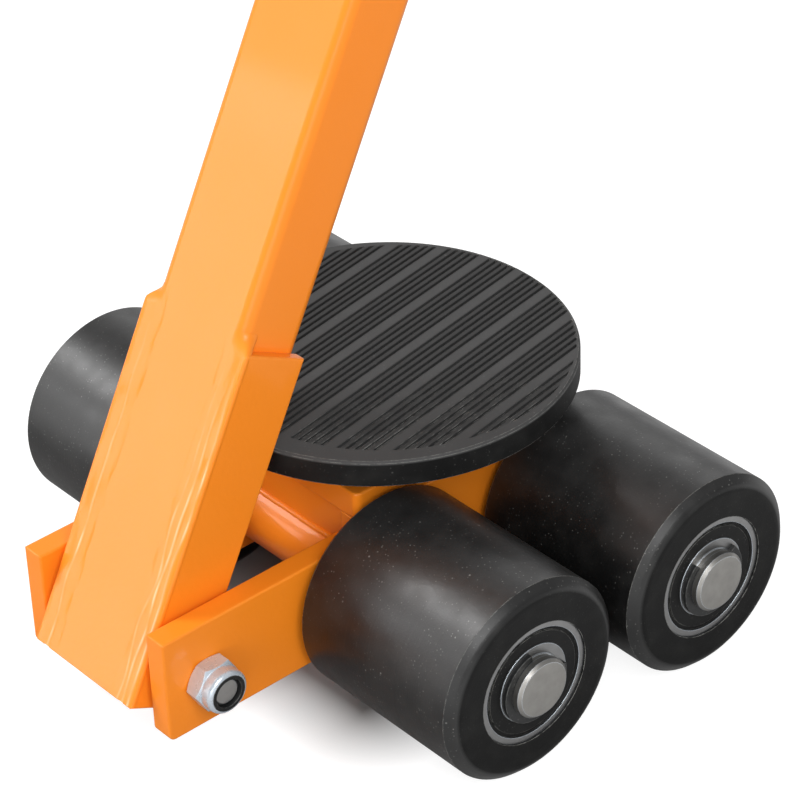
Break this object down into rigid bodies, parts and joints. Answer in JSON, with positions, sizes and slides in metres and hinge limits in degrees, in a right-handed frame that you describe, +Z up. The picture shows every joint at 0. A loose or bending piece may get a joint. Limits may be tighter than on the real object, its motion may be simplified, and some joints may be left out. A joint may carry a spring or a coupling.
{
  "type": "machine skate",
  "caption": "Low steerable skate for moving machines: wide black rollers on a welded frame, a ribbed rubber turntable on top and a hinged drawbar with a cross handle.",
  "frame": {"origin": "centre of the turntable's load face, where its axis meets the top of the rubber pad", "axes": "+Z up along the turntable axis, +X along the roller axles, -Y towards the drawbar hinge"},
  "size_m": [0.327, 0.4621, 0.8825],
  "materials": {
    "orange_paint": "glossy enamel",
    "ribbed_rubber": "matt moulded",
    "black_nylon": "satin turned",
    "bearing_steel": "ground",
    "seal_rubber": "matt moulded",
    "turned_steel": "turned",
    "black_spring_steel": "phosphated",
    "zinc_plated_steel": "bright zinc",
    "nylon_ring": "satin",
    "bronze": "machined",
    "black_steel": "matt black",
    "black_plastic": "moulded",
    "grip_rubber": "moulded"
  },
  "bodies": {
    "frame": {"side_plate_right": "orange_paint", "side_plate_left": "orange_paint", "deck_plate": "orange_paint", "front_cross_plate": "orange_paint", "rear_cross_plate": "orange_paint", "front_axle_tube": "orange_paint", "rear_axle_tube": "orange_paint", "front_axle": "turned_steel", "rear_axle": "turned_steel", "axle_clips": "black_spring_steel", "axle_spacers": "turned_steel", "kingpin_bush": "bronze", "thrust_washer_lower": "bearing_steel", "hinge_bolt": "zinc_plated_steel", "hinge_lock_nut": "zinc_plated_steel", "nut_nylon_ring": "nylon_ring", "hinge_washers": "zinc_plated_steel", "bearing_inner_rings_front_left": "bearing_steel", "bearing_inner_rings_front_right": "bearing_steel", "bearing_inner_rings_rear_left": "bearing_steel", "bearing_inner_rings_rear_right": "bearing_steel", "bearing_sleeve_front_left": "turned_steel", "bearing_sleeve_front_right": "turned_steel", "bearing_sleeve_rear_left": "turned_steel", "bearing_sleeve_rear_right": "turned_steel"},
    "turntable": {"rubber_pad": "ribbed_rubber", "turntable_disc": "black_steel", "kingpin": "turned_steel", "kingpin_washer": "zinc_plated_steel", "kingpin_clip": "black_spring_steel", "thrust_washer_upper": "bearing_steel"},
    "thrust_roller_set": {"thrust_cage": "bronze", "thrust_rollers": "bearing_steel"},
    "drawbar": {"drawbar_tube": "orange_paint", "drawbar_cheek_left": "orange_paint", "drawbar_cheek_right": "orange_paint", "hinge_sleeve": "turned_steel", "drawbar_end_cap": "black_plastic", "handle_tube": "orange_paint", "handle_grip_left": "grip_rubber", "handle_grip_right": "grip_rubber"},
    "front_left_roller": {"roller_front_left": "black_nylon", "bearing_outer_rings_front_left": "bearing_steel", "bearing_seals_front_left": "seal_rubber"},
    "front_right_roller": {"roller_front_right": "black_nylon", "bearing_outer_rings_front_right": "bearing_steel", "bearing_seals_front_right": "seal_rubber"},
    "rear_left_roller": {"roller_rear_left": "black_nylon", "bearing_outer_rings_rear_left": "bearing_steel", "bearing_seals_rear_left": "seal_rubber"},
    "rear_right_roller": {"roller_rear_right": "black_nylon", "bearing_outer_rings_rear_right": "bearing_steel", "bearing_seals_rear_right": "seal_rubber"}
  },
  "joints": [
    {"name": "drawbar_pivot", "type": "hinge", "parent": "frame", "child": "drawbar", "pos_m": [0, -0.12625, -0.071], "axis": [1, 0, 0], "range_deg": [0, 115]},
    {"name": "turntable_spin", "type": "hinge", "parent": "frame", "child": "turntable", "pos_m": [0, 0, 0], "axis": [0, 0, 1], "continuous": true},
    {"name": "thrust_roller_spin", "type": "hinge", "parent": "frame", "child": "thrust_roller_set", "pos_m": [0, 0, -0.018], "axis": [0, 0, 1], "continuous": true},
    {"name": "front_left_roller_spin", "type": "hinge", "parent": "frame", "child": "front_left_roller", "pos_m": [0, -0.04175, -0.0685], "axis": [1, 0, 0], "continuous": true},
    {"name": "front_right_roller_spin", "type": "hinge", "parent": "frame", "child": "front_right_roller", "pos_m": [0, -0.04175, -0.0685], "axis": [1, 0, 0], "continuous": true},
    {"name": "rear_left_roller_spin", "type": "hinge", "parent": "frame", "child": "rear_left_roller", "pos_m": [0, 0.05225, -0.0685], "axis": [1, 0, 0], "continuous": true},
    {"name": "rear_right_roller_spin", "type": "hinge", "parent": "frame", "child": "rear_right_roller", "pos_m": [0, 0.05225, -0.0685], "axis": [1, 0, 0], "continuous": true}
  ],
  "couplings": [
    {"joint": "thrust_roller_spin", "follows": "turntable_spin", "ratio": 0.5}
  ]
}
